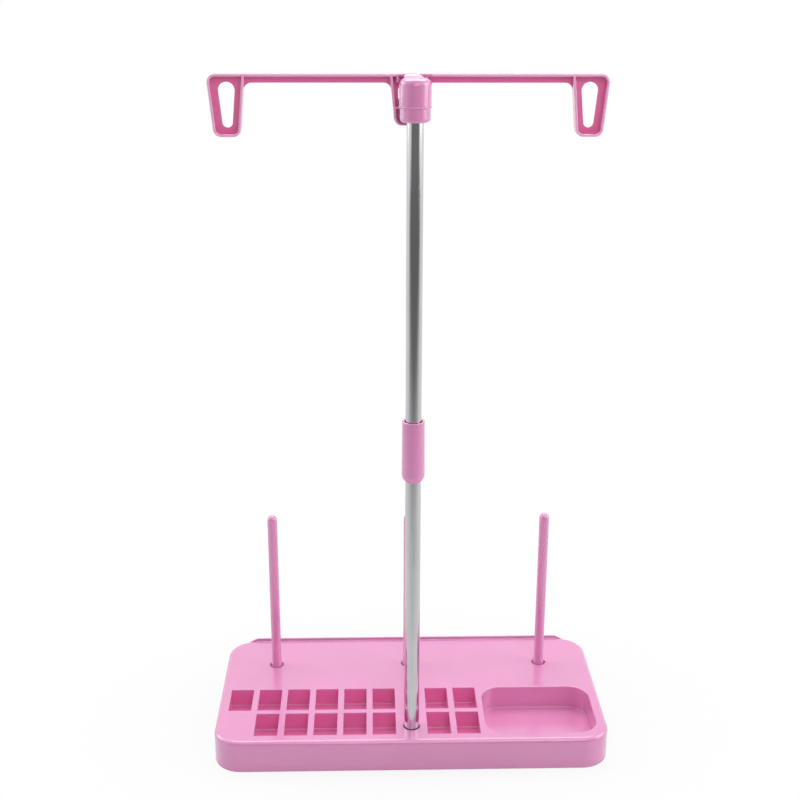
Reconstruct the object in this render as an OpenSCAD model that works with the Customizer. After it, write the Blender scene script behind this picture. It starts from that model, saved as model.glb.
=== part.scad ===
// Free-standing thread rack for a sewing table.
// A hollow base with bobbin wells, a tray and three spool pins carries a jointed mast,
// and a guide bar with three thread eyelets turns on top of the mast.
// Millimetres, +Z up. X is the rack's width and -Y its front.
// The origin is on the table, under the middle of the base.

/* [Base] */
// Height of the base moulding, without its pads
base_h = 21.5; // [21:0.5:30]
// Radius of the base's upright corners
corner_r = 18; // [12:1:22]
// Rounding of the deck's outer edge
edge_r = 3; // [1:0.5:4]
// Thickness of the outer walls and the deck
shell_t = 2.2; // [1.8:0.1:3]
// Deck left between the wells and the side edges
side_margin = 7; // [6:0.1:12]
// Deck left between the wells and the front edge
front_margin = 8.2; // [7.5:0.1:14]
// Deck behind the wells, where the spools stand
rear_deck = 66.6; // [60:0.2:90]
// Height of the lip along the back edge
lip_h = 2; // [1:0.1:3]
// Thickness of that lip
lip_t = 1.2; // [1:0.1:2.4]
// Hollow rounding in front of that lip
lip_foot_r = 1; // [0.5:0.1:2]
// How far the lip's ends reach into the corners
lip_reach = 3; // [0:0.5:6]
// Thickness of the stiffening ribs under the deck
rib_t = 1.6; // [1:0.1:2.4]
// Height of the ribs' feet above the lower edge of the walls
rib_lift = 2; // [1:0.5:4]
// Gap left round the mast and the pins where they enter the deck
ring_gap = 0.6; // [0.4:0.1:1]
// Rounding of the deck round those holes
hole_lip_r = 0.5; // [0.2:0.1:0.8]

/* [Pads] */
// Diameter of each anti-slip pad
pad_d = 12; // [8:0.5:14]
// Thickness of a pad
pad_t = 1.4; // [1.2:0.1:2.4]
// How far a pad stands out below the base
pad_stand = 0.8; // [0.6:0.1:1]
// Pad centre to the base's side and to its front or back
pad_inset = 13; // [12:0.5:16]

/* [Bobbin wells] */
// Width of one well
well_w = 14.8; // [13:0.1:17]
// Length of one well
well_l = 25; // [22:0.2:28]
// Depth of one well
well_depth = 12; // [8:0.5:14]
// Rib between two wells of a row
well_rib = 4.2; // [3:0.1:6]
// Rib between the two rows
row_rib = 4.2; // [3:0.1:6]
// Wells of the back row to the left of the mast
left_cols = 6; // [3:1:7]
// Wells of each row to the right of the mast
right_cols = 2; // [1:1:3]
// Rounding between a well's floor and its ends
well_r = 1; // [0.5:0.1:2]
// Wall left around wells and tray under the deck
well_wall = 1.8; // [1.2:0.1:2.4]

/* [Tray] */
// Depth of the tray
tray_depth = 16; // [10:0.5:17]
// Radius of the tray's upright corners
tray_r = 13; // [8:0.5:16]
// Rounding between the tray's floor and wall
tray_floor_r = 0.8; // [0.4:0.1:4]
// Rounding of the tray's mouth
tray_mouth_r = 0.8; // [0.3:0.1:1.5]

/* [Spool pins] */
// Diameter of a pin
pin_d = 6.6; // [5:0.1:7.6]
// Height of a pin above the deck
pin_h = 114; // [60:1:150]
// Distance between neighbouring pins
pin_pitch = 92; // [70:1:98]
// Distance from a pin's axis to the base's back edge
pin_back = 33.5; // [25:0.5:42]
// How much the foot flares out beyond the pin, all round
foot_flare = 0.8; // [0.6:0.1:1.4]
// Height of the flare
foot_h = 7; // [4:0.5:12]
// How much slimmer the peg under the foot is, all round
peg_step = 0.3; // [0.2:0.1:0.8]
// Length of that peg
peg_l = 11; // [8:0.5:13]
// Depth of the recess that the foot stands in
seat_depth = 2.5; // [1:0.1:3]

/* [Mast] */
// Outside diameter of both tubes
tube_d = 9.5; // [8:0.1:10.5]
// Wall of the tubes
tube_wall = 0.6; // [0.4:0.1:1]
// Length of each tube
tube_l = 209.5; // [120:0.5:300]
// Distance from the mast's axis to the base's front edge
mast_front = 17.7; // [16:0.1:26]
// Deck kept clear for the mast between the wells
mast_bay = 20.4; // [18:0.1:26]
// Closed floor under the lower tube
socket_floor = 1.2; // [1:0.1:2]
// Wall of the boss that holds the lower tube
boss_wall = 2.2; // [1.6:0.1:3]
// Depth of the ring round the mast in the deck
ring_depth = 3; // [1:0.1:5]

/* [Coupling] */
// Wall of the sleeve at its top
coupling_wall = 2; // [1.4:0.1:3]
// How much wider the sleeve is at its foot, all round
coupling_taper = 0.25; // [0:0.05:1]
// Length of the sleeve
coupling_l = 38.2; // [24:0.1:60]
// Thickness of the stop ring between the tubes
stop_t = 1.6; // [1:0.1:3]
// Height of the sleeve's rounded foot
coupling_foot_h = 4.6; // [3:0.1:6]
// Width of the lip left at that foot
coupling_lip = 0.4; // [0.3:0.1:0.8]
// Depth of the wider mouth at the sleeve's top
mouth_depth = 4; // [1:0.1:6]
// Rounding of the mouth's rim
mouth_rim_r = 0.4; // [0.2:0.05:0.45]

/* [Guide bar] */
// Distance from the bar's middle to the middle of an outer eyelet
eyelet_x = 101; // [70:0.2:130]
// Height of an outer eyelet
eyelet_h = 34.3; // [32:0.1:44]
// Height of the middle eyelet
mid_eyelet_h = 28; // [27:0.1:31]
// Width of an eyelet along its top edge
eyelet_top_w = 21.2; // [20.5:0.1:26]
// Width of an eyelet along its foot
eyelet_foot_w = 14.8; // [14:0.1:19]
// Corner radius of the eyelets
eyelet_r = 4.6; // [3:0.1:6]
// Diameter of an outer eyelet's hole at its top
hole_top_d = 9.2; // [6:0.1:9.6]
// Diameter of that hole at its foot
hole_foot_d = 5.8; // [4.4:0.1:6.4]
// Distance from that hole to the eyelet's top and foot
hole_inset = 4.7; // [3.5:0.1:6]
// Width of the middle eyelet's hole
mid_hole_w = 11.8; // [8:0.1:12]
// Height of the middle eyelet's hole
mid_hole_h = 8.6; // [6:0.1:9]
// Corner radius of the middle eyelet's hole
mid_hole_r = 2.5; // [1:0.1:3]
// Height of the bar between the eyelets
arm_h = 5.2; // [4:0.1:6]
// Depth of the bar's rims, front to back
bar_depth = 7.5; // [5:0.1:10]
// Thickness of the bar's web
web_t = 2; // [1.4:0.1:3]
// Width of the rims seen from the front
rim_t = 1.5; // [1.2:0.1:2.2]
// Rounding between an eyelet and the bar's underside
gusset_r = 4.2; // [2:0.1:6]
// How far the bar's middle lies to the left of the mast
bar_shift = 3.2; // [0:0.1:4]
// Gap between the socket and the bar's rims behind it
bar_gap = 0.5; // [0.3:0.1:1]
// Distance from the bar's middle to each short rib
short_rib_x = 6.2; // [5:0.1:7]
// Height of the short ribs
short_rib_h = 4.7; // [3:0.1:6]
// How much lower than the shelf the middle eyelet's cross rib lies
cross_rib_drop = 1.6; // [0:0.1:3]

/* [Socket] */
// Wall of the socket above its shelf
barrel_wall = 4.2; // [3:0.05:4.5]
// Height of the socket above its shelf
barrel_h = 14.5; // [11:0.1:18]
// Rounding of the socket's shoulder
barrel_r = 3.7; // [1.5:0.1:4]
// Wall of the collar below the shelf
collar_wall = 3.75; // [2.5:0.05:4]
// Height of the collar
collar_h = 7.6; // [5:0.1:10]
// Rounding of the collar's lower edge
collar_r = 2; // [1:0.1:2.4]
// How far the shelf's rounded edge stands out beyond the socket
shelf_step = 0.3; // [0.2:0.1:0.6]
// Thickness of the shelf
shelf_t = 1.4; // [1.2:0.1:1.8]
// How far the bar's top edge stands above the socket
crest_h = 1.5; // [0.8:0.1:2.5]
// Width of the web that joins the socket to the bar
bridge_w = 7.8; // [6:0.1:10]
// Width to which that web spreads on the socket
bridge_foot_w = 12.8; // [11:0.1:14]
// Length of that web's ramp, front to back
ramp_l = 6; // [3:0.1:7]
// Depth of the tube inside the socket
socket_depth = 17.4; // [10:0.2:19]

/* [Fits] */
// Radial play where the socket turns on the tube
turn_play = 0.06; // [0.03:0.01:0.1]
// Radial play where one piece pushes into another
push_play = 0.03; // [0.01:0.01:0.08]
// Gap between faces that only come close
face_gap = 0.1; // [0.05:0.05:0.3]

/* [Hidden] */
$fn = 96;

pink = [0.90, 0.62, 0.80];
pad_grey = [0.80, 0.80, 0.80];
steel = [0.75, 0.76, 0.78];
over = 1;
// Slanting sides stay this much inside the arcs they run into, so that both cross cleanly
weld = 0.01;

well_pitch = well_w + well_rib;
left_run = left_cols * well_pitch - well_rib;
right_run = right_cols * well_pitch - well_rib;
base_w = mast_bay + 2 * (left_run + side_margin);
wells_d = 2 * well_l + row_rib;
base_d = front_margin + wells_d + rear_deck;
deck_z = pad_stand + base_h;
wells_y0 = -base_d / 2 + front_margin;
back_row_y0 = wells_y0 + well_l + row_rib;
tray_x0 = mast_bay / 2 + right_run + well_rib;
tray_x1 = base_w / 2 - side_margin;
tray_w = tray_x1 - tray_x0;
tray_x = (tray_x0 + tray_x1) / 2;
tray_y = wells_y0 + wells_d / 2;
rib_foot_z = pad_stand + rib_lift;

pin_y = base_d / 2 - pin_back;
pin_places = [for (i = [-1 : 1]) [i * pin_pitch, pin_y]];
foot_d = pin_d + 2 * foot_flare;
peg_d = pin_d - 2 * peg_step;
seat_d = foot_d + 2 * ring_gap;
seat_z = deck_z - seat_depth;
pad_places = [
    for (sx = [-1, 1], sy = [-1, 1])
        [sx * (base_w / 2 - pad_inset), sy * (base_d / 2 - pad_inset)]
];

tube_id = tube_d - 2 * tube_wall;
push_bore_d = tube_d + 2 * push_play;
turn_bore_d = tube_d + 2 * turn_play;
ring_d = tube_d + 2 * ring_gap;
mast_y = -base_d / 2 + mast_front;
lower_foot_z = pad_stand + socket_floor;
lower_top_z = lower_foot_z + tube_l;
upper_foot_z = lower_top_z + stop_t;
upper_top_z = upper_foot_z + tube_l;

coupling_top_d = tube_d + 2 * coupling_wall;
coupling_foot_d = coupling_top_d + 2 * coupling_taper;
coupling_z = lower_top_z + stop_t / 2 - coupling_l / 2;

barrel_d = tube_d + 2 * barrel_wall;
collar_d = tube_d + 2 * collar_wall;
shelf_d = barrel_d + 2 * shelf_step;
collar_z = upper_top_z + face_gap - socket_depth;
shelf_z = collar_z + collar_h;
barrel_z = shelf_z + shelf_t;
barrel_top_z = barrel_z + barrel_h;
bar_top_z = barrel_top_z + crest_h;
shelf_drop = bar_top_z - barrel_z;
bar_front_y = barrel_d / 2 + bar_gap;
bar_back_y = bar_front_y + bar_depth;
eyelet_slope = (eyelet_top_w - eyelet_foot_w) / 2 / eyelet_h;
slope_len = sqrt(1 + eyelet_slope * eyelet_slope);

// A block w by d with round upright corners r. The child is half the section of one edge,
// with the corner's axis at x = 0, and h is its height there.
module swept_block(w, d, r, h) {
    for (sx = [-1, 1], sy = [-1, 1])
        translate([sx * (w / 2 - r), sy * (d / 2 - r), 0]) rotate_extrude() children();
    translate([-(w / 2 - r), 0, 0])
        rotate([90, 0, 90])
            linear_extrude(w - 2 * r)
                both_sides(d / 2 - r, h) children();
    translate([0, d / 2 - r, 0])
        rotate([90, 0, 0])
            linear_extrude(d - 2 * r)
                both_sides(w / 2 - r, h) children();
}

// A section whose two edges are the child, with their inner ends at x = reach
module both_sides(reach, h) {
    for (m = [0, 1])
        mirror([m, 0]) {
            square([reach + over, h]);
            translate([reach, 0]) children();
        }
}

// Edge of a block of height h that is r wide and rounded by e at the top
module crown_edge(r, h, e) {
    square([r - e, h]);
    square([r, h - e]);
    translate([r - e, h - e]) circle(e);
}

// Edge of a basin of depth h that is r wide, rounded at its floor and at its mouth
module basin_edge(r, h, floor_r, mouth_r) {
    translate([0, floor_r]) square([r, h + over - floor_r]);
    square([r - floor_r, floor_r + over]);
    translate([r - floor_r, floor_r]) circle(floor_r);
    translate([0, h]) mouth_edge(r, mouth_r);
}

// The flare that rounds the mouth of a hole of radius r, with the surface at y = 0
module mouth_edge(r, e) {
    difference() {
        translate([0, -e]) square([r + e, e + over]);
        translate([r + e, -e]) circle(e);
    }
}

// A flat plate with round upright corners, centred on X and Y
module round_plate(w, d, h, r) {
    linear_extrude(h) round_rect(w, d, r);
}

module round_rect(w, d, r) {
    square([w - 2 * r, d], center = true);
    square([w, d - 2 * r], center = true);
    for (sx = [-1, 1], sy = [-1, 1])
        translate([sx * (w / 2 - r), sy * (d / 2 - r)]) circle(r);
}

// The space of one bobbin well, with rounded floor ends
module well_space(x, y) {
    translate([x, y, deck_z - well_depth])
        rotate([90, 0, 90])
            linear_extrude(well_w) {
                translate([0, well_r]) square([well_l, well_depth + over - well_r]);
                translate([well_r, 0]) square([well_l - 2 * well_r, well_depth]);
                translate([well_r, well_r]) circle(well_r);
                translate([well_l - well_r, well_r]) circle(well_r);
            }
}

// All bobbin wells: the front row has none in the corner of the base
module well_spaces() {
    for (i = [0 : left_cols - 1]) {
        x = -mast_bay / 2 - left_run + i * well_pitch;
        well_space(x, back_row_y0);
        if (i > 0) well_space(x, wells_y0);
    }
    for (i = [0 : right_cols - 1]) {
        x = mast_bay / 2 + i * well_pitch;
        well_space(x, back_row_y0);
        well_space(x, wells_y0);
    }
}

module tray_space() {
    translate([tray_x, tray_y, deck_z - tray_depth])
        swept_block(tray_w, wells_d, tray_r, tray_depth + over)
            basin_edge(tray_r, tray_depth, tray_floor_r, tray_mouth_r);
}

// Material around the wells and the tray, under the deck
module pocket_walls() {
    left_x0 = -mast_bay / 2 - left_run - well_wall;
    right_x0 = mast_bay / 2 - well_wall;
    block_d = wells_d + 2 * well_wall;
    block_h = well_depth + well_wall - shell_t / 2;
    block_z = deck_z - well_depth - well_wall;
    translate([left_x0, back_row_y0 - well_wall, block_z])
        cube([left_run + 2 * well_wall, well_l + 2 * well_wall, block_h]);
    translate([left_x0 + well_pitch, wells_y0 - well_wall, block_z])
        cube([left_run + 2 * well_wall - well_pitch, block_d, block_h]);
    translate([right_x0, wells_y0 - well_wall, block_z])
        cube([right_run + 2 * well_wall, block_d, block_h]);
    translate([tray_x, tray_y, deck_z - tray_depth - well_wall])
        round_plate(
            tray_w + 2 * well_wall, block_d, tray_depth + well_wall - shell_t / 2,
            tray_r + well_wall
        );
}

// Bosses, pad posts and stiffening ribs under the deck
module under_deck() {
    rib_h = deck_z - rib_foot_z - shell_t / 2;
    boss_z = seat_z - peg_l - well_wall;
    translate([0, mast_y, pad_stand])
        cylinder(d = ring_d + 2 * boss_wall, h = base_h - shell_t / 2);
    for (p = pin_places)
        translate([p[0], p[1], boss_z])
            cylinder(d = seat_d + 2 * well_wall, h = deck_z - boss_z - shell_t / 2);
    for (p = pad_places)
        translate([p[0], p[1], pad_stand])
            cylinder(d = pad_d + 2 * well_wall, h = base_h - shell_t / 2);
    translate([-base_w / 2 + shell_t / 2, pin_y - rib_t / 2, rib_foot_z])
        cube([base_w - shell_t, rib_t, rib_h]);
    for (p = pin_places)
        translate([p[0] - rib_t / 2, back_row_y0 + well_l, rib_foot_z])
            cube([rib_t, rear_deck - shell_t / 2, rib_h]);
}

// Low lip along the back edge of the deck, with ramped ends
module back_lip() {
    foot_z = deck_z - edge_r;
    half_l = base_w / 2 - corner_r + lip_reach;
    intersection() {
        translate([0, 0, foot_z])
            difference() {
                round_plate(base_w, base_d, edge_r + lip_h, corner_r);
                translate([0, 0, -over])
                    round_plate(
                        base_w - 2 * lip_t, base_d - 2 * lip_t, edge_r + lip_h + 2 * over,
                        corner_r - lip_t
                    );
            }
        translate([0, base_d / 2 + over, 0])
            rotate([90, 0, 0])
                linear_extrude(corner_r)
                    polygon([
                        [-half_l - 2 * edge_r, foot_z], [half_l + 2 * edge_r, foot_z],
                        [half_l - 2 * lip_h, deck_z + lip_h], [-half_l + 2 * lip_h, deck_z + lip_h]
                    ]);
    }
    translate([-base_w / 2 + corner_r, base_d / 2 - lip_t, deck_z])
        rotate([90, 0, 90])
            linear_extrude(base_w - 2 * corner_r)
                difference() {
                    translate([-lip_foot_r, -edge_r]) square([lip_foot_r + lip_t / 2, edge_r + lip_foot_r]);
                    translate([-lip_foot_r, lip_foot_r]) circle(lip_foot_r);
                }
}

module base() {
    color(pink) difference() {
        union() {
            difference() {
                union() {
                    translate([0, 0, pad_stand])
                        swept_block(base_w, base_d, corner_r, base_h)
                            crown_edge(corner_r, base_h, edge_r);
                    back_lip();
                }
                round_plate(
                    base_w - 2 * shell_t, base_d - 2 * shell_t, deck_z - shell_t,
                    corner_r - shell_t
                );
            }
            pocket_walls();
            under_deck();
        }
        well_spaces();
        tray_space();
        translate([0, mast_y, 0]) {
            translate([0, 0, lower_foot_z]) cylinder(d = push_bore_d, h = base_h);
            deck_ring(ring_d, ring_depth);
        }
        for (p = pin_places)
            translate([p[0], p[1], 0]) {
                translate([0, 0, seat_z - peg_l - face_gap])
                    cylinder(d = peg_d + 2 * push_play, h = base_h);
                deck_ring(seat_d, seat_depth);
            }
        for (p = pad_places)
            translate([p[0], p[1], 0]) cylinder(d = pad_d + 2 * face_gap, h = pad_t);
    }
}

// A round recess in the deck with a softened edge
module deck_ring(d, depth) {
    translate([0, 0, deck_z])
        rotate_extrude() {
            translate([0, -depth]) square([d / 2, depth + over]);
            mouth_edge(d / 2, hole_lip_r);
        }
}

module foot_pads() {
    color(pad_grey)
        for (p = pad_places)
            translate([p[0], p[1], 0]) cylinder(d = pad_d, h = pad_t);
}

// One of the mast's two equal tubes, standing on z
module mast_tube(z) {
    color(steel) translate([0, mast_y, z])
        difference() {
            cylinder(d = tube_d, h = tube_l);
            translate([0, 0, -over]) cylinder(d = tube_id, h = tube_l + 2 * over);
        }
}

module lower_tube() {
    mast_tube(lower_foot_z);
}

module upper_tube() {
    mast_tube(upper_foot_z);
}

// Half the section of the coupling sleeve, still without its bores
module coupling_section() {
    foot_r = coupling_foot_d / 2;
    drawn_in = foot_r - tube_d / 2 - coupling_lip;
    arc_r = (coupling_foot_h * coupling_foot_h + drawn_in * drawn_in) / 2 / drawn_in;
    rim_x = coupling_top_d / 2 - mouth_rim_r;
    intersection() {
        polygon([
            [0, 0], [foot_r, 0], [foot_r, coupling_foot_h],
            [coupling_top_d / 2, coupling_l - mouth_rim_r], [rim_x, coupling_l], [0, coupling_l]
        ]);
        union() {
            translate([foot_r - arc_r, coupling_foot_h]) circle(arc_r);
            translate([0, coupling_foot_h]) square([foot_r, coupling_l]);
        }
    }
    translate([rim_x, coupling_l - mouth_rim_r]) circle(mouth_rim_r);
}

module coupling_sleeve() {
    mouth_d = tube_d + 2 * ring_gap;
    color(pink) translate([0, mast_y, coupling_z])
        difference() {
            rotate_extrude() coupling_section();
            translate([0, 0, -over])
                cylinder(d = push_bore_d, h = coupling_l / 2 - stop_t / 2 + over);
            translate([0, 0, coupling_l / 2 + stop_t / 2])
                cylinder(d = push_bore_d, h = coupling_l);
            cylinder(d = tube_id, h = coupling_l);
            translate([0, 0, coupling_l - mouth_depth]) cylinder(d = mouth_d, h = mouth_depth + over);
        }
}

// Half width of an eyelet at depth z below the bar's top edge, drawn in by e
function eyelet_half(z, e) = eyelet_top_w / 2 - z * eyelet_slope - e * slope_len;

// A hanging tapered eyelet of height h, drawn in by e all round. Its foot has round corners
// and its -X top corner is rounded by top_r.
module eyelet_outline(h, e, top_r) {
    foot_r = eyelet_r - e;
    foot_x = eyelet_half(h - eyelet_r, eyelet_r);
    foot_z = eyelet_r - h;
    top_c = [-eyelet_half(e + top_r, e + max(top_r, weld)), -e - top_r];
    side = [1, -eyelet_slope] / slope_len;
    far_side = [-side[0], side[1]];
    polygon([
        top_c + max(top_r - weld, 0) * far_side, top_c + [0, top_r],
        [eyelet_half(e, e + weld), -e],
        [foot_x, foot_z] + (foot_r - weld) * side, [foot_x, foot_z - foot_r],
        [-foot_x, foot_z - foot_r], [-foot_x, foot_z] + (foot_r - weld) * far_side
    ]);
    for (s = [-1, 1])
        translate([s * foot_x, foot_z]) circle(foot_r);
    if (top_r > 0) translate(top_c) circle(top_r);
}

// Two circles on one upright line joined by their common tangents
module drop_hole(z0, r0, z1, r1) {
    k = (r0 - r1) / (z0 - z1);
    side = [sqrt(1 - k * k), -k];
    far_side = [-side[0], side[1]];
    translate([0, z0]) circle(r0);
    translate([0, z1]) circle(r1);
    polygon([
        [0, z0] + (r0 - weld) * far_side, [0, z0] + (r0 - weld) * side,
        [0, z1] + (r1 - weld) * side, [0, z1] + (r1 - weld) * far_side
    ]);
}

// Fillet between the bar's underside and the +X side of an eyelet
module gusset() {
    bend = atan(eyelet_slope);
    reach = gusset_r / tan((90 + bend) / 2);
    corner = [eyelet_half(arm_h, 2 * weld), -arm_h];
    centre = corner + [reach, -gusset_r];
    touch = corner - reach * [sin(bend), cos(bend)];
    difference() {
        polygon([
            corner + [-rim_t / 2, rim_t / 2], corner + [reach, rim_t / 2], corner + [reach, 0],
            centre, touch, touch - [rim_t / 2, 0]
        ]);
        translate(centre) circle(gusset_r);
    }
}

// Places the child at both outer eyelets, with its -X side outwards
module at_outer_eyelets() {
    translate([-eyelet_x, 0]) children();
    mirror([1, 0]) translate([-eyelet_x, 0]) children();
}

// The whole bar seen from the front, with its top edge on the X axis
module bar_outline() {
    translate([-eyelet_x, -arm_h]) square([2 * eyelet_x, arm_h]);
    at_outer_eyelets() {
        eyelet_outline(eyelet_h, 0, eyelet_r);
        gusset();
    }
    eyelet_outline(mid_eyelet_h, 0, 0);
    gusset();
    mirror([1, 0]) gusset();
}

// The holes that the threads run through
module bar_holes() {
    at_outer_eyelets()
        drop_hole(
            -hole_inset - hole_top_d / 2, hole_top_d / 2,
            -eyelet_h + hole_inset + hole_foot_d / 2, hole_foot_d / 2
        );
    translate([0, -shelf_drop + mid_hole_h / 2 + shelf_t / 2])
        round_rect(mid_hole_w, mid_hole_h, mid_hole_r);
}

// The rims and short ribs that stand forward of the web
module bar_rims() {
    translate([-eyelet_x, -rim_t]) square([2 * eyelet_x, rim_t]);
    at_outer_eyelets()
        difference() {
            eyelet_outline(eyelet_h, 0, eyelet_r);
            eyelet_outline(eyelet_h, rim_t, eyelet_r - rim_t);
        }
    difference() {
        eyelet_outline(mid_eyelet_h, 0, 0);
        eyelet_outline(mid_eyelet_h, rim_t, 0);
    }
    for (s = [-1, 1])
        translate([s * short_rib_x - rim_t / 2, -short_rib_h]) square([rim_t, short_rib_h]);
    cross_z = -shelf_drop - shelf_t - cross_rib_drop;
    cross_w = 2 * eyelet_half(-cross_z, rim_t / 2);
    translate([-cross_w / 2, cross_z]) square([cross_w, shelf_t]);
}

// Turns a front view on the X and Z axes into a slab between two Y values
module slab(y0, y1) {
    translate([0, y1, 0]) rotate([90, 0, 0]) linear_extrude(y1 - y0) children();
}

// Outside of the socket, from the collar's foot to the shoulder
module socket_body() {
    rotate_extrude() {
        translate([0, collar_z + collar_r]) square([collar_d / 2, collar_h]);
        translate([0, collar_z]) square([collar_d / 2 - collar_r, collar_h]);
        translate([collar_d / 2 - collar_r, collar_z + collar_r]) circle(collar_r);
        translate([0, shelf_z]) square([(shelf_d - shelf_t) / 2, shelf_t]);
        translate([(shelf_d - shelf_t) / 2, shelf_z + shelf_t / 2]) circle(d = shelf_t);
        translate([0, barrel_z - shelf_t / 2])
            crown_edge(barrel_d / 2, barrel_h + shelf_t / 2, barrel_r);
    }
}

// The webs that join the socket to the bar, with a hollow ramp up to the bar's top edge
module socket_bridge() {
    web_y = bar_back_y - web_t / 2;
    web_x = -(bar_shift + bridge_w) / 2;
    intersection() {
        translate([-bridge_foot_w, 0, 0])
            rotate([90, 0, 90])
                linear_extrude(2 * bridge_foot_w)
                    ramp_section(web_y);
        linear_extrude(bar_top_z + over) ramp_plan();
    }
    translate([web_x, 0, collar_z + collar_r])
        cube([bridge_w, web_y, collar_h - collar_r + shelf_t / 2]);
    translate([(shelf_t - shelf_d) / 2, 0, shelf_z]) cube([shelf_d - shelf_t, web_y, shelf_t]);
}

// The ramp seen from the side
module ramp_section(web_y) {
    ramp_r = (ramp_l * ramp_l + crest_h * crest_h) / 2 / crest_h;
    ramp_y = bar_front_y - ramp_l;
    difference() {
        translate([0, bar_top_z - short_rib_h]) square([web_y, short_rib_h]);
        translate([-over, barrel_top_z]) square([over + ramp_y, ramp_r]);
        translate([ramp_y, barrel_top_z + ramp_r]) circle(ramp_r);
    }
}

// The ramp seen from above, spread towards the socket
module ramp_plan() {
    ramp_y = bar_front_y - ramp_l;
    flat_r = barrel_d / 2 - barrel_r;
    web_x0 = -(bar_shift + bridge_w) / 2;
    web_x1 = web_x0 + bridge_w;
    polygon([
        [-flat_r, 0], [flat_r, 0], [bridge_foot_w / 2, ramp_y], [web_x1, bar_front_y],
        [web_x1, bar_back_y], [web_x0, bar_back_y], [web_x0, bar_front_y],
        [-bridge_foot_w / 2, ramp_y]
    ]);
}

module guide_bar() {
    color(pink) translate([0, mast_y, 0])
        difference() {
            union() {
                translate([-bar_shift, 0, bar_top_z]) {
                    slab(bar_back_y - web_t, bar_back_y)
                        difference() {
                            bar_outline();
                            bar_holes();
                        }
                    slab(bar_front_y, bar_back_y) bar_rims();
                }
                socket_body();
                socket_bridge();
            }
            translate([0, 0, collar_z - over]) cylinder(d = turn_bore_d, h = socket_depth + over);
        }
}

// One spool pin on its peg, at a place in the deck
module spool_pin(place) {
    shaft_h = pin_h + seat_depth - pin_d / 2;
    color(pink) translate([place[0], place[1], seat_z]) {
        translate([0, 0, -peg_l]) cylinder(d = peg_d, h = peg_l + over);
        cylinder(d1 = foot_d, d2 = pin_d, h = foot_h);
        cylinder(d = pin_d, h = shaft_h);
        translate([0, 0, shaft_h]) sphere(d = pin_d);
    }
}

module spool_pin_left() {
    spool_pin(pin_places[0]);
}

module spool_pin_middle() {
    spool_pin(pin_places[1]);
}

module spool_pin_right() {
    spool_pin(pin_places[2]);
}

base();
foot_pads();
lower_tube();
coupling_sleeve();
upper_tube();
guide_bar();
spool_pin_left();
spool_pin_middle();
spool_pin_right();
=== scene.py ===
"""Dresses the thread rack: pink mouldings, three spool pins and a jointed steel mast.

The rack stands on a pale studio floor and is seen from where the photograph was taken.
"""

import logging
import math
from collections.abc import Callable
from dataclasses import dataclass, field, replace
from enum import Enum

import bmesh
import bpy
from mathutils import Matrix, Vector


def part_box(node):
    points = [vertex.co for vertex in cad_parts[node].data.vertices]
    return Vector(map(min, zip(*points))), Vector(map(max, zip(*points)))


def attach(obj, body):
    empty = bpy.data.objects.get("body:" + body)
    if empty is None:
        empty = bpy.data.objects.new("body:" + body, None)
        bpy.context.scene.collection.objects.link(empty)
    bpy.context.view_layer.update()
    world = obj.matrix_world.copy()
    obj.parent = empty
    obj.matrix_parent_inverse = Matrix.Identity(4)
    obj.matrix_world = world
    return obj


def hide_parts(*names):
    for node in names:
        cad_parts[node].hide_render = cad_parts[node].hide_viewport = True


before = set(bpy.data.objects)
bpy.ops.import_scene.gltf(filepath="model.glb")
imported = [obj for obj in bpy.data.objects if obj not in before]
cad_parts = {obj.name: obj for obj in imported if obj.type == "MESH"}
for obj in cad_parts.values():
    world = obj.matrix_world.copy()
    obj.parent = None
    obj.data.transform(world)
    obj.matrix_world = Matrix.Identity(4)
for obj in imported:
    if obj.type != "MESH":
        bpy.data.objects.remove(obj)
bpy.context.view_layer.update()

log = logging.getLogger("thread_rack")

Point = tuple[float, float, float]
Colour = tuple[float, float, float, float]
Ring = tuple[float, float]
Span = tuple[float, float]
Socket = bpy.types.NodeSocket

MM = 0.001
# Points around a turned piece, steps up its shaft, and steps in an arc of its section
ROUND_SEGMENTS = 96
SHAFT_STEPS = 8
ARC_STEPS = 8
# Distances within which a moulding's triangles and a turning's rings are merged
MERGE_DISTANCE = 2e-6
RING_DISTANCE = 1e-7
# Degrees: faces that meet flatter than the first are merged, edges up to the second are smoothed
FLAT_ANGLE = 0.4
CREASE_ANGLE = 35.0
# Digits that a measure in metres is rounded to, a tenth of a micron
MEASURE_DIGITS = 7
# The middle of a noise's values, where nearly all of them lie
MIDDLE: Span = (0.3, 0.7)
NOISE_ROUGHNESS = 0.55
WHITE: Colour = (1.0, 1.0, 1.0, 1.0)
# How the nodes of a tree are laid out, for whoever opens it
NODE_SPACING = (190, 160)
NODE_ROWS = 5


class Body(Enum):
    """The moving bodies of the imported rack."""

    BASE = "rack_base"
    LOWER_MAST = "lower_mast"
    UPPER_MAST = "upper_mast"
    BAR = "thread_bar"
    PIN_LEFT = "pin_left"
    PIN_MIDDLE = "pin_middle"
    PIN_RIGHT = "pin_right"


class Slot(Enum):
    """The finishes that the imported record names."""

    PLASTIC = "pink_plastic"
    STEEL = "steel_tube"
    FOAM = "pad_foam"


# Mesh helpers


@dataclass(frozen=True)
class NodeBox:
    """A CAD node's box at rest, from which a piece takes its place and size."""

    low: Point
    high: Point

    @classmethod
    def of(cls, node: str) -> "NodeBox":
        """Measures a node.

        Args:
            node: The CAD node's name.

        Returns:
            Its box.
        """
        corners = (tuple(round(v, MEASURE_DIGITS) for v in corner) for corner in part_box(node))
        return cls(*corners)

    @property
    def axis(self) -> tuple[float, float]:
        """X and Y of the box's middle, where a round piece has its axis."""
        return (self.low[0] + self.high[0]) / 2, (self.low[1] + self.high[1]) / 2

    @property
    def radius(self) -> float:
        """Half of the box's width, a round piece's radius."""
        return (self.high[0] - self.low[0]) / 2


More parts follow.
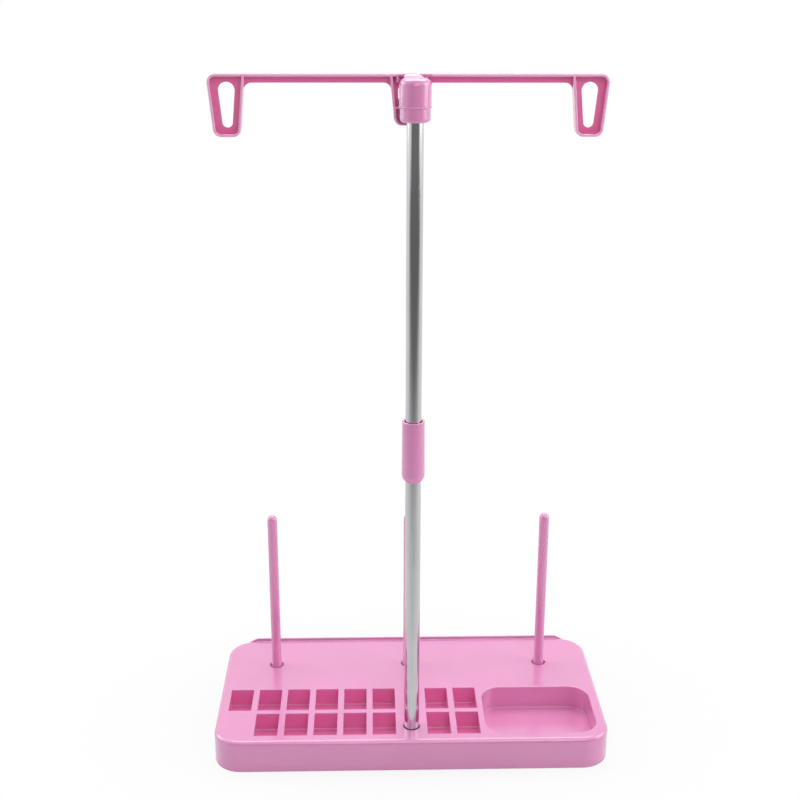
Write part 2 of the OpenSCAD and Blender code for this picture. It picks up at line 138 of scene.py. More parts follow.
def deselect_everything() -> None:
    """Goes back to object mode and leaves nothing selected."""
    if bpy.context.object is not None and bpy.context.object.mode != "OBJECT":
        bpy.ops.object.mode_set(mode="OBJECT")
    bpy.ops.object.select_all(action="DESELECT")


def take_up(piece: bpy.types.Object) -> None:
    """Makes one piece the only selected and active object.

    Args:
        piece: The object to work on.
    """
    deselect_everything()
    piece.select_set(True)
    bpy.context.view_layer.objects.active = piece


def settle(piece: bpy.types.Object) -> bpy.types.Object:
    """Puts a piece's place into its mesh and smooths all but its sharp edges.

    Args:
        piece: The finished mesh object.

    Returns:
        The same object, at the origin.
    """
    take_up(piece)
    bpy.ops.object.transform_apply(location=True, rotation=True, scale=True)
    bpy.ops.object.shade_smooth_by_angle(angle=math.radians(CREASE_ANGLE))
    even = piece.modifiers.new("even_faces", "WEIGHTED_NORMAL")
    even.mode = "FACE_AREA"
    even.keep_sharp = True
    bpy.ops.object.modifier_apply(modifier=even.name)
    deselect_everything()
    return piece


def fillet(section: list[tuple[float, float, float]], steps: int = 6) -> list[Ring]:
    """Rounds the corners of an open section.

    Args:
        section: Corners as radius, height and fillet radius, in metres.
        steps: Straight pieces in each rounded corner.

    Returns:
        The points of the rounded section.
    """
    points: list[Ring] = []
    for i, (x, z, r) in enumerate(section):
        here = Vector((x, z))
        if r <= 0 or i in (0, len(section) - 1):
            points.append((x, z))
            continue
        before = (Vector(section[i - 1][:2]) - here).normalized()
        after = (Vector(section[i + 1][:2]) - here).normalized()
        half = before.angle(after) / 2
        centre = here + (before + after).normalized() * (r / math.sin(half))
        start = here + before * (r / math.tan(half)) - centre
        sweep = math.pi - 2 * half
        turn = 1 if before.x * after.y - before.y * after.x < 0 else -1
        for k in range(steps + 1):
            p = centre + Matrix.Rotation(turn * sweep * k / steps, 2) @ start
            points.append((p.x, p.y))
    return points


@dataclass
class Turning:
    """A round piece, made by extruding and scaling one ring after another.

    A hollow piece's section is a closed loop, and a solid one's runs from its foot to its top.
    """

    name: str
    centre: tuple[float, float]
    section: list[Ring]
    hollow: bool = False
    segments: int = ROUND_SEGMENTS

    def build(self) -> bpy.types.Object:
        """Builds the piece's mesh.

        Returns:
            The closed and smoothed object.
        """
        x, y = self.centre
        radius, height = self.section[0]
        deselect_everything()
        bpy.ops.mesh.primitive_circle_add(
            vertices=self.segments,
            radius=radius,
            fill_type="NOTHING" if self.hollow else "NGON",
            location=(x, y, height),
        )
        piece = bpy.context.object
        piece.name = self.name
        piece.data.name = self.name
        bpy.ops.object.mode_set(mode="EDIT")
        bpy.ops.mesh.select_mode(type="EDGE")
        bpy.ops.mesh.select_all(action="SELECT")
        rings = self.section[1:] + (self.section[:1] if self.hollow else [])
        for next_radius, next_height in rings:
            bpy.ops.mesh.extrude_region_move(
                TRANSFORM_OT_translate={"value": (0, 0, next_height - height)}
            )
            grow = next_radius / radius
            bpy.ops.transform.resize(value=(grow, grow, 1), center_override=(x, y, next_height))
            radius, height = next_radius, next_height
        bpy.ops.mesh.select_all(action="SELECT")
        bpy.ops.mesh.remove_doubles(threshold=RING_DISTANCE)
        bpy.ops.mesh.normals_make_consistent(inside=False)
        return settle(piece)


@dataclass(frozen=True)
class EdgeRound:
    """How far the edges that picks chooses by their two ends are rounded.

    Edges whose faces meet at less than least_angle degrees are left as they are.
    """

    radius: float
    picks: Callable[[Vector, Vector], bool]
    segments: int = 3
    least_angle: float = 50.0


@dataclass
class SoftenedCopy:
    """A copy of a moulded CAD node whose sharp outer edges are rounded as a mould leaves them."""

    node: str
    name: str
    rounds: list[EdgeRound]

    def build(self) -> bpy.types.Object:
        """Merges a copy of the node's triangles and rounds the chosen edges.

        Returns:
            The dressed copy.
        """
        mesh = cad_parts[self.node].data.copy()
        piece = bpy.data.objects.new(self.name, mesh)
        mesh.name = self.name
        mesh.materials.clear()
        bpy.context.scene.collection.objects.link(piece)
        take_up(piece)
        bpy.ops.mesh.customdata_custom_splitnormals_clear()
        bpy.ops.object.mode_set(mode="EDIT")
        bpy.ops.mesh.select_all(action="SELECT")
        bpy.ops.mesh.remove_doubles(threshold=MERGE_DISTANCE)
        bpy.ops.mesh.dissolve_limited(angle_limit=math.radians(FLAT_ANGLE))
        bpy.ops.object.mode_set(mode="OBJECT")
        for turn in self.rounds:
            chosen = self.select_edges(mesh, turn)
            log.info("%s: %d edges rounded by %.2f mm", self.name, chosen, turn.radius / MM)
            if chosen == 0:
                continue
            bpy.ops.object.mode_set(mode="EDIT")
            bpy.ops.mesh.select_mode(type="EDGE")
            bpy.ops.mesh.bevel(
                offset=turn.radius, segments=turn.segments, affect="EDGES", clamp_overlap=False
            )
            bpy.ops.object.mode_set(mode="OBJECT")
        self.keep_inside(mesh)
        return settle(piece)

    def keep_inside(self, mesh: bpy.types.Mesh) -> None:
        """Holds every vertex inside the node's own box, which rounded arcs pass by some microns.

        Args:
            mesh: The rounded mesh.
        """
        low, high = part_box(self.node)
        for vertex in mesh.vertices:
            vertex.co = [min(max(vertex.co[axis], low[axis]), high[axis]) for axis in range(3)]

    def select_edges(self, mesh: bpy.types.Mesh, turn: EdgeRound) -> int:
        """Selects the convex sharp edges that are wanted.

        Args:
            mesh: The merged mesh.
            turn: The rounding that they are for.

        Returns:
            How many edges are selected.
        """
        shape = bmesh.new()
        shape.from_mesh(mesh)
        wanted = set()
        for edge in shape.edges:
            if len(edge.link_faces) != 2:
                continue
            if edge.calc_face_angle_signed() < math.radians(turn.least_angle):
                continue
            if turn.picks(edge.verts[0].co, edge.verts[1].co):
                wanted.add(edge.index)
        shape.free()
        mesh.vertices.foreach_set("select", [False] * len(mesh.vertices))
        mesh.polygons.foreach_set("select", [False] * len(mesh.polygons))
        mesh.edges.foreach_set("select", [i in wanted for i in range(len(mesh.edges))])
        return len(wanted)


def hand_over(
    piece: bpy.types.Object, body: Body, finish: bpy.types.Material, node: str
) -> None:
    """Gives a piece its material and its body, and hides the CAD node that it stands for.

    Args:
        piece: The finished piece.
        body: The body that it moves with.
        finish: Its material.
        node: The CAD node that it stands for.
    """
    piece.data.materials.clear()
    piece.data.materials.append(finish)
    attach(piece, body.value)
    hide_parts(node)
    log.info("%s rides on %s", piece.name, body.value)


# Material helpers


@dataclass
class NodeSheet:
    """Adds and joins the nodes of one node tree."""

    tree: bpy.types.NodeTree
    column: int = 0

    def add(self, kind: str, **settings: object) -> bpy.types.Node:
        """Adds a node.

        Args:
            kind: Blender's node type.
            settings: The node's properties, or an input's value where the name starts with in_.

        Returns:
            The new node.
        """
        made = self.tree.nodes.new(kind)
        across, down = NODE_SPACING
        made.location = (self.column * across, -(len(self.tree.nodes) % NODE_ROWS) * down)
        self.column += 1
        for name, value in settings.items():
            if name.startswith("in_"):
                made.inputs[name.removeprefix("in_")].default_value = value
            else:
                setattr(made, name, value)
        return made

    def join(self, start: Socket, end: Socket) -> None:
        """Links two sockets."""
        self.tree.links.new(start, end)

    def feed(self, value: Socket | float | Colour, end: Socket) -> None:
        """Links a socket to an input, or sets the input to a plain value.

        Args:
            value: A socket, a number or a colour.
            end: The input.
        """
        if isinstance(value, Socket):
            self.join(value, end)
        else:
            end.default_value = value

    def math(self, operation: str, *values: Socket | float) -> Socket:
        """Adds a maths node.

        Args:
            operation: The operation's name.
            values: Sockets or numbers for its inputs.

        Returns:
            The result's socket.
        """
        made = self.add("ShaderNodeMath", operation=operation)
        for value, end in zip(values, made.inputs):
            self.feed(value, end)
        return made.outputs[0]

    def spread(
        self, value: Socket, low: float, high: float, to_low: float = 0.0, to_high: float = 1.0
    ) -> Socket:
        """Maps a range of values to another, smoothly and clamped.

        Args:
            value: The value that is mapped.
            low: The value that gives to_low.
            high: The value that gives to_high.
            to_low: Result at low.
            to_high: Result at high.

        Returns:
            The result's socket.
        """
        made = self.add("ShaderNodeMapRange", interpolation_type="SMOOTHSTEP")
        self.join(value, made.inputs["Value"])
        for name, number in (
            ("From Min", low),
            ("From Max", high),
            ("To Min", to_low),
            ("To Max", to_high),
        ):
            made.inputs[name].default_value = number
        return made.outputs["Result"]

    def blend(
        self, factor: Socket | float, first: Socket | Colour, second: Socket | Colour
    ) -> Socket:
        """Mixes two colours.

        Args:
            factor: Share of the second colour.
            first: Colour at 0.
            second: Colour at 1.

        Returns:
            The mixed colour's socket.
        """
        made = self.add("ShaderNodeMix", data_type="RGBA")
        # The node has sockets for each kind of data, and these are the ones for colours
        ends = (made.inputs[0], made.inputs[6], made.inputs[7])
        for value, end in zip((factor, first, second), ends):
            self.feed(value, end)
        return made.outputs[2]

    def noise(self, place: Socket, scale: float, detail: float = 3.0) -> Socket:
        """Adds a noise texture.

        Args:
            place: Coordinates.
            scale: Cells per metre.
            detail: Number of finer layers.

        Returns:
            The noise value's socket.
        """
        made = self.add(
            "ShaderNodeTexNoise", in_Scale=scale, in_Detail=detail, in_Roughness=NOISE_ROUGHNESS
        )
        self.join(place, made.inputs["Vector"])
        return made.outputs[0]

    def stretched(self, place: Socket, scale: Point, turn: float = 0.0) -> Socket:
        """Stretches coordinates, for grain that runs one way.

        Args:
            place: Coordinates.
            scale: Factor along each axis.
            turn: Turn about Z in radians.

        Returns:
            The mapped coordinates' socket.
        """
        made = self.add("ShaderNodeMapping", in_Scale=scale, in_Rotation=(0, 0, turn))
        self.join(place, made.inputs["Vector"])
        return made.outputs[0]

    def axes(self, place: Socket) -> dict[str, Socket]:
        """Splits coordinates or a direction.

        Args:
            place: Coordinates or a direction.

        Returns:
            Its X, Y and Z by name.
        """
        made = self.add("ShaderNodeSeparateXYZ")
        self.join(place, made.inputs[0])
        return {name: made.outputs[name] for name in "XYZ"}

    def bump(
        self, height: Socket, shader: bpy.types.Node, distance: float, strength: float = 1.0
    ) -> None:
        """Gives a shader an uneven surface.

        Args:
            height: The unevenness, from 0 to about 1.
            shader: The shader.
            distance: What a height of 1 is, in metres.
            strength: Share of the effect.
        """
        made = self.add("ShaderNodeBump", in_Strength=strength, in_Distance=distance)
        self.join(height, made.inputs["Height"])
        self.join(made.outputs["Normal"], shader.inputs["Normal"])


def new_mask_group(name: str, amount: float) -> tuple[NodeSheet, bpy.types.Node, bpy.types.Node]:
    """Starts a shader node group that makes a mask from coordinates and an amount.

    Args:
        name: The group's name.
        amount: The amount where a material gives none.

    Returns:
        A sheet to fill the group with, and its input and output nodes.
    """
    tree = bpy.data.node_groups.new(name, "ShaderNodeTree")
    tree.interface.new_socket(name="Vector", in_out="INPUT", socket_type="NodeSocketVector")
    given = tree.interface.new_socket(name="Amount", in_out="INPUT", socket_type="NodeSocketFloat")
    given.default_value = amount
    tree.interface.new_socket(name="Mask", in_out="OUTPUT", socket_type="NodeSocketFloat")
    sheet = NodeSheet(tree)
    return sheet, sheet.add("NodeGroupInput"), sheet.add("NodeGroupOutput")


@dataclass(frozen=True)
class HandlingMarks:
    """Fine hairlines left by spools, hands and cloths, which cross in patches."""

    name: str = "handling_marks"
    usual: float = 0.5
    # Turn about Z and cells per metre along each axis, of each set of lines
    lines: tuple[tuple[float, Point], ...] = (
        (0.5, (900.0, 38.0, 120.0)),
        (-0.9, (42.0, 1050.0, 150.0)),
        (1.9, (1200.0, 60.0, 60.0)),
    )
    hair: Span = (0.68, 0.74)
    patch_scale: float = 34.0
    patch: Span = (0.42, 0.62)

    def build(self) -> bpy.types.NodeTree:
        """Builds the node group.

        Returns:
            The group, whose Mask is 1 on a hairline.
        """
        sheet, given, result = new_mask_group(self.name, self.usual)
        place = given.outputs["Vector"]
        crossed = None
        for turn, stretch in self.lines:
            wave = sheet.noise(sheet.stretched(place, stretch, turn), scale=1.0, detail=1.0)
            hair = sheet.spread(wave, *self.hair)
            crossed = hair if crossed is None else sheet.math("MAXIMUM", crossed, hair)
        patches = sheet.spread(sheet.noise(place, self.patch_scale, detail=2.0), *self.patch)
        shown = sheet.math("MULTIPLY", crossed, patches)
        sheet.join(sheet.math("MULTIPLY", shown, given.outputs["Amount"]), result.inputs["Mask"])
        return sheet.tree


@dataclass(frozen=True)
class SettledDust:
    """The thin dust that lies on upward faces, as specks and as an uneven film."""

    name: str = "settled_dust"
    usual: float = 0.2
    upward: Span = (0.55, 0.98)
    speck_scale: float = 1500.0
    speck: Span = (0.56, 0.74)
    film_scale: float = 22.0
    film: Span = (0.35, 0.75)
    film_share: Span = (0.15, 0.6)

    def build(self) -> bpy.types.NodeTree:
        """Builds the node group.

        Returns:
            The group, whose Mask is 1 where dust lies thickest.
        """
        sheet, given, result = new_mask_group(self.name, self.usual)
        place = given.outputs["Vector"]
        facing = sheet.axes(sheet.add("ShaderNodeNewGeometry").outputs["Normal"])
        upward = sheet.spread(facing["Z"], *self.upward)
        specks = sheet.spread(sheet.noise(place, self.speck_scale, detail=2.0), *self.speck)
        film = sheet.spread(sheet.noise(place, self.film_scale), *self.film, *self.film_share)
        lying = sheet.math("MULTIPLY", sheet.math("MAXIMUM", specks, film), upward)
        sheet.join(sheet.math("MULTIPLY", lying, given.outputs["Amount"]), result.inputs["Mask"])
        return sheet.tree


@dataclass(frozen=True)
class SharedEffects:
    """The node groups that the finishes share, and the way a material is started."""

    marks: bpy.types.NodeTree
    dust: bpy.types.NodeTree

    def start(self, name: str) -> tuple[bpy.types.Material, NodeSheet, bpy.types.Node, Socket]:
        """Starts a material.

        Args:
            name: The material's name.

        Returns:
            The material, a sheet to fill it with, its shader and its object coordinates.
        """
        material = bpy.data.materials.new(name)
        material.use_nodes = True
        sheet = NodeSheet(material.node_tree)
        place = sheet.add("ShaderNodeTexCoord")
        return material, sheet, material.node_tree.nodes["Principled BSDF"], place.outputs["Object"]

    def use(
        self, sheet: NodeSheet, group: bpy.types.NodeTree, place: Socket, amount: float
    ) -> Socket:
        """Places a shared group in a material.

        Args:
            sheet: The material's sheet.
            group: The group.
            place: Coordinates.
            amount: Its strength.

        Returns:
            The group's mask.
        """
        made = sheet.add("ShaderNodeGroup", node_tree=group)
        sheet.join(place, made.inputs["Vector"])
        made.inputs["Amount"].default_value = amount
        return made.outputs["Mask"]


@dataclass(frozen=True)
class RimLightAndRecessShade:
    """Painted light and shade in the bar's colour beside its socket.

    The fronts of the thin rims are painted paler, a painted highlight of the light they catch, and
    the recess between them deeper, painted shade.
    """

    front: float
    depth: float = 2.0 * MM
    full_at: float = 0.3
    socket_reach: float = 9.4 * MM
    socket_soft: float = 0.4 * MM
    # Painted highlight on the rims' fronts, then painted shade in the recess between them
    colour: Colour = (1.0, 0.5, 0.77, 1.0)
    painted_recess_shade: Colour = (0.92, 0.23, 0.51, 1.0)

    def paint_light_and_shade(self, sheet: NodeSheet, place: Socket, colour: Socket) -> Socket:
        """Paints the rims' highlight and the recess's shade into a colour beside the socket.

        Args:
            sheet: The material's sheet.
            place: Object coordinates.
            colour: The plastic's colour.

        Returns:
            The colour's socket, with the painted light and shade.
        """
        at = sheet.axes(place)
        full = self.front + self.full_at * self.depth
        near = sheet.spread(at["Y"], self.front + self.depth, full)
        aside = sheet.math("ABSOLUTE", at["X"])
        beside = sheet.spread(aside, self.socket_reach, self.socket_reach + self.socket_soft)
        inner = sheet.blend(beside, colour, self.painted_recess_shade)
        return sheet.blend(sheet.math("MULTIPLY", near, beside), inner, self.colour)


@dataclass(frozen=True)
class PaintedPocketShade:
    """Painted shade: the base's colour deepens inside the block of narrow wells below its deck."""

    left: float = -122 * MM
    right: float = 47 * MM
    front: float = -59 * MM
    back: float = -0.5 * MM
    foot: float = 3 * MM
    deck: float = 22 * MM
    side_soft: float = 0.5 * MM
    deck_soft: float = 2.0 * MM
    # Painted shade inside the wells, deeper and redder than the plastic
    colour: Colour = (0.87, 0.225, 0.52, 1.0)

    def paint_light_and_shade(self, sheet: NodeSheet, place: Socket, colour: Socket) -> Socket:
        """Paints the wells' shade into a colour.

        Args:
            sheet: The material's sheet.
            place: Object coordinates.
            colour: The plastic's colour.

        Returns:
            The colour's socket, with the painted shade.
        """
        at = sheet.axes(place)
        mask = sheet.spread(at["X"], self.left, self.left + self.side_soft)
        for axis, outer, inner in (
            ("X", self.right, self.right - self.side_soft),
            ("Y", self.front, self.front + self.side_soft),
            ("Y", self.back, self.back - self.side_soft),
            ("Z", self.foot, self.foot + self.side_soft),
            ("Z", self.deck, self.deck - self.deck_soft),
        ):
            mask = sheet.math("MULTIPLY", mask, sheet.spread(at[axis], outer, inner))
        return sheet.blend(mask, colour, self.colour)


@dataclass(frozen=True)
class GlossPlastic:
    """Glossy moulded plastic with flow marks, a faint orange peel and hairlines."""

    name: str
    colour: Colour = (0.81, 0.29, 0.57, 1.0)
    # Wide flow marks, and the fine speckle of the pigment
    flow_colour: Colour = (0.79, 0.275, 0.55, 1.0)
    flow_scale: float = 26.0
    flow_stretch: Point = (1.0, 0.45, 0.8)
    flow_turn: float = 0.4
    speckle_scale: float = 2600.0
    speckle: Span = (0.62, 0.8)
    speckle_share: float = 0.12
    # Roughness of the clean surface, and what hairlines and dust add to it
    gloss: Span = (0.16, 0.22)
    gloss_scale: float = 75.0
    marks: float = 0.2
    marks_dull: float = 0.14
    dust: float = 0.02
    dust_dull: float = 0.5
    dust_colour: Colour = (0.86, 0.74, 0.80, 1.0)
    # Orange peel, and the wider sink marks
    peel_scale: float = 420.0
    peel_height: float = 0.008 * MM
    sink_scale: float = 48.0
    sink_share: float = 3.0
    # The plastic's body, its glossy skin, and the light that spreads inside it
    body_ior: float = 1.5
    skin_ior: float = 1.65
    skin_roughness: float = 0.2
    glow: float = 0.15
    glow_depth: float = 2.0 * MM
    glow_reach: Point = (1.0, 0.25, 0.5)
    # Painted light and shade laid over the colour, where a copy has them
    painted_light: RimLightAndRecessShade | PaintedPocketShade | None = None

    def build(self, effects: SharedEffects) -> bpy.types.Material:
        """Builds the material.

        Args:
            effects: The shared groups.

        Returns:
            The material.
        """
        material, sheet, shader, place = effects.start(self.name)
        drawn = sheet.stretched(place, self.flow_stretch, self.flow_turn)
        flow = sheet.spread(sheet.noise(drawn, self.flow_scale, detail=4.0), *MIDDLE)
        pigment = sheet.noise(place, self.speckle_scale, detail=1.0)
        speckle = sheet.spread(pigment, *self.speckle, to_high=self.speckle_share)
        colour = sheet.blend(flow, self.colour, self.flow_colour)
        colour = sheet.blend(speckle, colour, self.flow_colour)
        if self.painted_light is not None:
            colour = self.painted_light.paint_light_and_shade(sheet, place, colour)
        dust = effects.use(sheet, effects.dust, place, self.dust)
        marks = effects.use(sheet, effects.marks, place, self.marks)
        sheet.join(sheet.blend(dust, colour, self.dust_colour), shader.inputs["Base Color"])
        clean = sheet.spread(sheet.noise(place, self.gloss_scale), *MIDDLE, *self.gloss)
        marked = sheet.math("ADD", clean, sheet.math("MULTIPLY", marks, self.marks_dull))
        dusty = sheet.math("ADD", marked, sheet.math("MULTIPLY", dust, self.dust_dull))
        sheet.join(dusty, shader.inputs["Roughness"])
        peel = sheet.noise(place, self.peel_scale, detail=2.0)
        sink = sheet.noise(place, self.sink_scale, detail=1.0)
        height = sheet.math("ADD", peel, sheet.math("MULTIPLY", sink, self.sink_share))
        sheet.bump(height, shader, self.peel_height)
        for name, value in (
            ("IOR", self.body_ior),
            ("Coat Weight", 1.0),
            ("Coat Roughness", self.skin_roughness),
            ("Coat IOR", self.skin_ior),
            ("Subsurface Weight", self.glow),
            ("Subsurface Scale", self.glow_depth),
            ("Subsurface Radius", self.glow_reach),
        ):
            shader.inputs[name].default_value = value
        return material


@dataclass(frozen=True)
class PolishedSteel:
    """Drawn and polished stainless tube with fine grain along its length."""

    name: str
    colour: Colour = (0.66, 0.66, 0.68, 1.0)
    shade: Colour = (0.56, 0.56, 0.58, 1.0)
    # The grain of the drawing, and the wider clouds of the polishing
    grain_scale: float = 2600.0
    grain_stretch: Point = (1.0, 1.0, 0.012)
    grain_shade: Span = (0.3, 0.75)
    grain_height: float = 0.006 * MM
    cloud_scale: float = 120.0
    cloud_stretch: Point = (1.0, 1.0, 0.35)
    cloud_shade: Span = (0.25, 0.7)
    cloud_core: Span = (0.4, 0.7)
    # Roughness along the grain, and what clouds and hairlines add to it
    gloss: Span = (0.09, 0.18)
    cloud_dull: float = 0.05
    marks: float = 0.5
    marks_dull: float = 0.16

    def build(self, effects: SharedEffects) -> bpy.types.Material:
        """Builds the material.

        Args:
            effects: The shared groups.

        Returns:
            The material.
        """
        material, sheet, shader, place = effects.start(self.name)
        grain = sheet.noise(sheet.stretched(place, self.grain_stretch), self.grain_scale)
        cloud = sheet.noise(sheet.stretched(place, self.cloud_stretch), self.cloud_scale)
        marks = effects.use(sheet, effects.marks, place, self.marks)
        lines = sheet.spread(grain, *self.grain_shade)
        tone = sheet.math("MULTIPLY", lines, sheet.spread(cloud, *self.cloud_shade))
        sheet.join(sheet.blend(tone, self.colour, self.shade), shader.inputs["Base Color"])
        clean = sheet.spread(grain, *MIDDLE, *self.gloss)
        haze = sheet.math("MULTIPLY", sheet.spread(cloud, *self.cloud_core), self.cloud_dull)
        cloudy = sheet.math("ADD", clean, haze)
        marked = sheet.math("ADD", cloudy, sheet.math("MULTIPLY", marks, self.marks_dull))
        sheet.join(marked, shader.inputs["Roughness"])
        sheet.bump(sheet.math("SUBTRACT", grain, marks), shader, self.grain_height)
        shader.inputs["Metallic"].default_value = 1.0
        return material


@dataclass(frozen=True)
class FoamRubber:
    """Closed-cell foam of the anti-slip pads."""

    name: str
    colour: Colour = (0.62, 0.62, 0.61, 1.0)
    pore_colour: Colour = (0.42, 0.42, 0.42, 1.0)
    pore_scale: float = 1900.0
    pore_wall: Span = (0.15, 0.5)
    pore_depth: float = 0.08 * MM
    pore_strength: float = 0.8
    dust: float = 0.35
    dust_colour: Colour = (0.75, 0.73, 0.72, 1.0)
    gloss: Span = (0.75, 0.92)
    gloss_scale: float = 300.0

    def build(self, effects: SharedEffects) -> bpy.types.Material:
        """Builds the material.

        Args:
            effects: The shared groups.

        Returns:
            The material.
        """
        material, sheet, shader, place = effects.start(self.name)
        cells = sheet.add("ShaderNodeTexVoronoi", in_Scale=self.pore_scale)
        sheet.join(place, cells.inputs["Vector"])
        pores = sheet.spread(cells.outputs["Distance"], *self.pore_wall)
        dust = effects.use(sheet, effects.dust, place, self.dust)
        colour = sheet.blend(pores, self.pore_colour, self.colour)
        sheet.join(sheet.blend(dust, colour, self.dust_colour), shader.inputs["Base Color"])
        clean = sheet.spread(sheet.noise(place, self.gloss_scale), *MIDDLE, *self.gloss)
        sheet.join(clean, shader.inputs["Roughness"])
        sheet.bump(pores, shader, self.pore_depth, self.pore_strength)
        return material


# The rack's sub-assemblies


@dataclass
class BaseMoulding:
    """The moulding with its wells and tray, and the four pads under it."""

    plastic: bpy.types.Material
    foam: bpy.types.Material
    # How far edges are rounded, and where they lie: on the deck and above, or at the walls' foot
    edge_round: float = 0.35 * MM
    back_lip: float = 2.0 * MM
    deck_slack: float = 0.05 * MM
    foot_slack: float = 0.2 * MM
    foot_from_x: float = 60 * MM
    # One pad, and where the pad of the right back corner stands
    pad_radius: float = 6.0 * MM
    pad_core: float = 0.3 * MM
    pad_thickness: float = 1.4 * MM
    pad_foot_round: float = 0.3 * MM
    pad_top_round: float = 0.25 * MM
    pad_x: float = 114.0 * MM
    pad_y: float = 51.5 * MM

    def build(self) -> None:
        """Builds and dresses the moulding and its pads."""
        hand_over(self.moulding(), Body.BASE, self.plastic, "base")
        first = self.pad()
        for i, (sx, sy) in enumerate(((1, 1), (-1, 1), (-1, -1), (1, -1))):
            pad = first if i == 0 else self.copied_pad(first, i)
            pad.data.transform(Matrix.Translation((sx * self.pad_x, sy * self.pad_y, 0)))
            hand_over(pad, Body.BASE, self.foam, "foot_pads")

    def moulding(self) -> bpy.types.Object:
        """Softens the deck's edge, the mouths in the deck and the foot of the walls.

        Returns:
            The moulding.
        """
        box = NodeBox.of("base")
        deck = box.high[2] - self.back_lip - self.deck_slack
        foot = box.low[2] + self.foot_slack

        def is_rim(a: Vector, b: Vector) -> bool:
            """Tells whether an edge lies on the deck, on the back lip or at the walls' foot."""
            at_foot = max(a.z, b.z) < foot and max(abs(a.x), abs(b.x)) > self.foot_from_x
            return min(a.z, b.z) > deck or at_foot

        return SoftenedCopy("base", "rack_moulding", [EdgeRound(self.edge_round, is_rim)]).build()

    def pad(self) -> bpy.types.Object:
        """Builds one pad on the axis.

        Returns:
            The pad.
        """
        section = fillet(
            [
                (self.pad_core, 0, 0),
                (self.pad_radius, 0, self.pad_foot_round),
                (self.pad_radius, self.pad_thickness, self.pad_top_round),
                (self.pad_core, self.pad_thickness, 0),
            ]
        )
        return Turning("foot_pad_1", (0, 0), section).build()

    def copied_pad(self, first: bpy.types.Object, i: int) -> bpy.types.Object:
        """Copies a pad, which has already been placed, back to the axis.

        Args:
            first: The first pad, in its corner.
            i: Number of the copy, from 1.

        Returns:
            The copy with its own mesh.
        """
        mesh = first.data.copy()
        mesh.transform(Matrix.Translation((-self.pad_x, -self.pad_y, 0)))
        copy = bpy.data.objects.new(f"foot_pad_{i + 1}", mesh)
        mesh.name = copy.name
        bpy.context.scene.collection.objects.link(copy)
        return copy


@dataclass
class Mast:
    """Two equal tubes and the sleeve that joins them."""

    plastic: bpy.types.Material
    steel: bpy.types.Material
    lower: NodeBox = field(default_factory=lambda: NodeBox.of("lower_tube"))
    upper: NodeBox = field(default_factory=lambda: NodeBox.of("upper_tube"))
    jacket: NodeBox = field(default_factory=lambda: NodeBox.of("coupling_sleeve"))
    tube_wall: float = 0.6 * MM
    burr: float = 0.12 * MM
    # The sleeve's outside: its taper, its drawn-in foot and its top edge
    taper: float = 0.25 * MM
    foot_lip: float = 0.4 * MM
    foot_round: float = 4.6 * MM
    top_round: float = 0.4 * MM
    # The sleeve's inside: its fit on the tubes and its wider mouth
    push_play: float = 0.03 * MM
    mouth_play: float = 0.6 * MM
    mouth_round: float = 0.25 * MM
    mouth_depth: float = 4.0 * MM

    def build(self) -> None:
        """Builds and dresses both tubes and the sleeve."""
        lower = self.tube("mast_tube_lower", self.lower)
        hand_over(lower, Body.LOWER_MAST, self.steel, "lower_tube")
        hand_over(self.sleeve(), Body.LOWER_MAST, self.plastic, "coupling_sleeve")
        upper = self.tube("mast_tube_upper", self.upper)
        hand_over(upper, Body.UPPER_MAST, self.steel, "upper_tube")

    def tube(self, name: str, box: NodeBox) -> bpy.types.Object:
        """Builds one tube with softened ends.

        Args:
            name: The piece's name.
            box: The CAD tube's box.

        Returns:
            The tube.
        """
        out, bore, soft = box.radius, box.radius - self.tube_wall, self.burr
        foot, top = box.low[2], box.high[2]
        rise = (top - foot - 2 * soft) / SHAFT_STEPS
        stations = [foot + soft + rise * i for i in range(SHAFT_STEPS + 1)]
        section = [(bore + soft, foot), (out - soft, foot)]
        section += [(out, z) for z in stations]
        section += [(out - soft, top), (bore + soft, top)]
        section += [(bore, z) for z in reversed(stations)]
        return Turning(name, box.axis, section, hollow=True).build()

    def sleeve(self) -> bpy.types.Object:
        """Builds the sleeve with its drawn-in foot, its stop ring and its wider mouth.

        Returns:
            The sleeve.
        """
        tube, wide = self.lower.radius, self.jacket.radius
        push, mouth, bore = tube + self.push_play, tube + self.mouth_play, tube - self.tube_wall
        foot, top = self.jacket.low[2], self.jacket.high[2]
        stop_foot, stop_top = self.lower.high[2], self.upper.low[2]
        drawn_in = wide - tube - self.foot_lip
        arc = (self.foot_round**2 + drawn_in**2) / 2 / drawn_in
        section = [(push, foot), (wide - drawn_in, foot)]
        for i in range(1, ARC_STEPS + 1):
            below = self.foot_round * (1 - i / ARC_STEPS)
            outside = wide - arc + math.sqrt(arc**2 - below**2)
            section.append((outside, foot + self.foot_round - below))
        section += fillet(
            [
                (*section[-1], 0),
                (wide - self.taper, top, self.top_round),
                (mouth, top, self.mouth_round),
                (mouth, top - self.mouth_depth, 0),
            ]
        )[1:]
        section += [(push, top - self.mouth_depth), (push, stop_top), (bore, stop_top)]
        section += [(bore, stop_foot), (push, stop_foot)]
        return Turning("mast_sleeve", self.jacket.axis, section, hollow=True).build()


